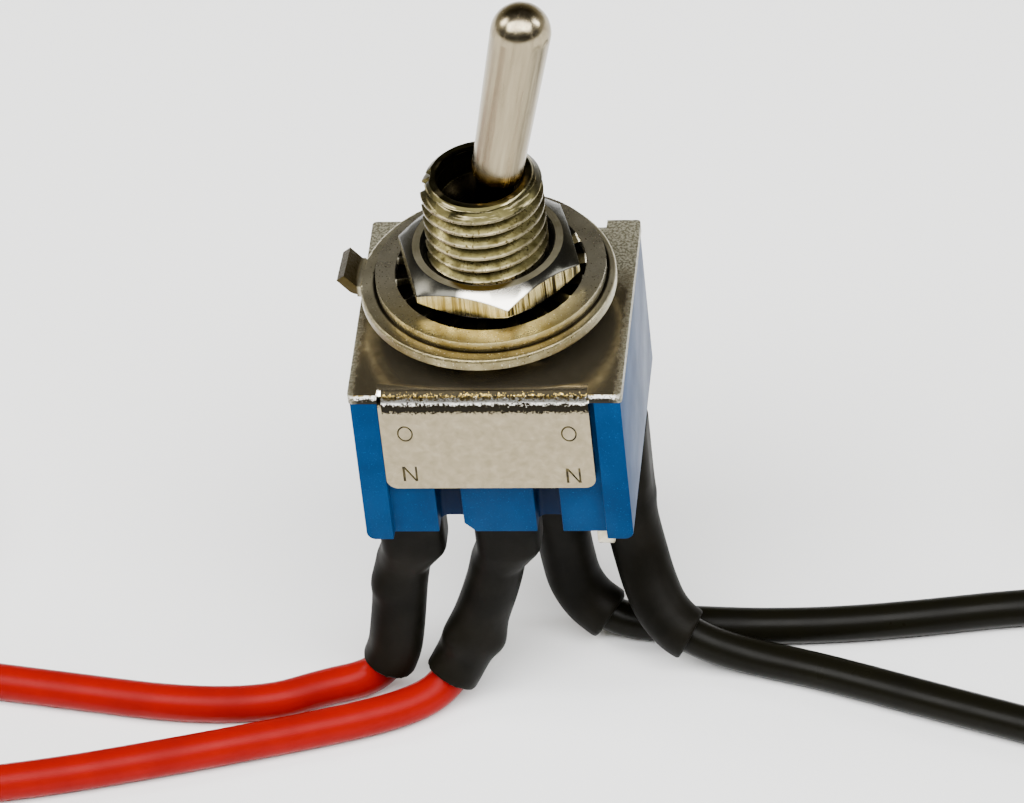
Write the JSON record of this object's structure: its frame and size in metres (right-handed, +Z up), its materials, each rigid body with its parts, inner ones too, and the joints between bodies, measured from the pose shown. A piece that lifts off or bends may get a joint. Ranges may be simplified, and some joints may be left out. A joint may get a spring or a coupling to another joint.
{
  "type": "miniature toggle switch",
  "caption": "Miniature two-pole panel toggle switch with a blue moulded body, plated bracket, threaded bushing, bat lever and red and black soldered leads",
  "frame": {"origin": "on the bushing's axis, in the top face of the bracket, where the bushing stands out of the body", "axes": "+Z up the bushing, +X to the side that the lever leans to at rest, +Y to the back pole, away from the pole with the bare right lug"},
  "size_m": [0.1069, 0.0642, 0.042],
  "materials": {
    "blue_plastic": "satin moulded thermoset",
    "satin_nickel": "dull nickel plating on sheet steel",
    "bright_nickel": "bright nickel plating on turned brass",
    "white_plastic": "natural nylon",
    "silvered_brass": "silver plating",
    "spring_steel": "drawn wire",
    "solder": "tinned",
    "black_sleeving": "satin shrunk sleeving",
    "red_insulation": "satin soft vinyl",
    "black_insulation": "satin soft vinyl"
  },
  "bodies": {
    "switch": {"bracket": "satin_nickel", "housing": "blue_plastic", "bushing": "bright_nickel", "terminal_front_left": "silvered_brass", "terminal_front_middle": "silvered_brass", "terminal_front_right": "silvered_brass", "terminal_back_left": "silvered_brass", "terminal_back_middle": "silvered_brass", "terminal_back_right": "silvered_brass", "lower_nut": "bright_nickel", "locating_ring": "satin_nickel", "lock_washer": "satin_nickel", "upper_nut": "bright_nickel", "solder_joint_front_left": "solder", "sleeve_front_left": "black_sleeving", "lead_front_left": "red_insulation", "coil_front_left": "red_insulation", "stripped_tip_front_left": "solder", "solder_joint_front_middle": "solder", "sleeve_front_middle": "black_sleeving", "lead_front_middle": "red_insulation", "coil_front_middle": "red_insulation", "stripped_tip_front_middle": "solder", "solder_joint_back_middle": "solder", "sleeve_back_middle": "black_sleeving", "lead_back_middle": "black_insulation", "coil_back_middle": "black_insulation", "stripped_tip_back_middle": "solder", "solder_joint_back_right": "solder", "sleeve_back_right": "black_sleeving", "lead_back_right": "black_insulation", "coil_back_right": "black_insulation", "stripped_tip_back_right": "solder", "coil_ties": "black_sleeving"},
    "lever": {"lever": "bright_nickel", "actuator_block": "white_plastic", "plunger_spring_front": "spring_steel", "plunger_spring_back": "spring_steel"},
    "plunger_front": {"plunger_front": "silvered_brass"},
    "plunger_back": {"plunger_back": "silvered_brass"},
    "rocker_front": {"rocker_front": "silvered_brass"},
    "rocker_back": {"rocker_back": "silvered_brass"}
  },
  "joints": [
    {"name": "lever_throw", "type": "hinge", "parent": "switch", "child": "lever", "pos_m": [0, 0, 0.0048], "axis": [0, 1, 0], "range_deg": [-24.56, 0]},
    {"name": "rocker_front_tilt", "type": "hinge", "parent": "switch", "child": "rocker_front", "pos_m": [0, -0.0024, -0.00708], "axis": [0, 1, 0], "range_deg": [0, 14]},
    {"name": "rocker_back_tilt", "type": "hinge", "parent": "switch", "child": "rocker_back", "pos_m": [0, 0.0024, -0.00708], "axis": [0, 1, 0], "range_deg": [0, 14]},
    {"name": "plunger_front_slide", "type": "slide", "parent": "lever", "child": "plunger_front", "axis": [0.2127, 0, 0.9771], "range_m": [0, 0.0004], "stiffness_N_per_m": 300, "springref_m": -0.001, "deforming": ["plunger_spring_front"]},
    {"name": "plunger_back_slide", "type": "slide", "parent": "lever", "child": "plunger_back", "axis": [0.2127, 0, 0.9771], "range_m": [0, 0.0004], "stiffness_N_per_m": 300, "springref_m": -0.001, "deforming": ["plunger_spring_back"]}
  ],
  "couplings": [
    {"joint": "rocker_front_tilt", "follows": "lever_throw", "ratio": -0.57},
    {"joint": "rocker_back_tilt", "follows": "lever_throw", "ratio": -0.57}
  ]
}
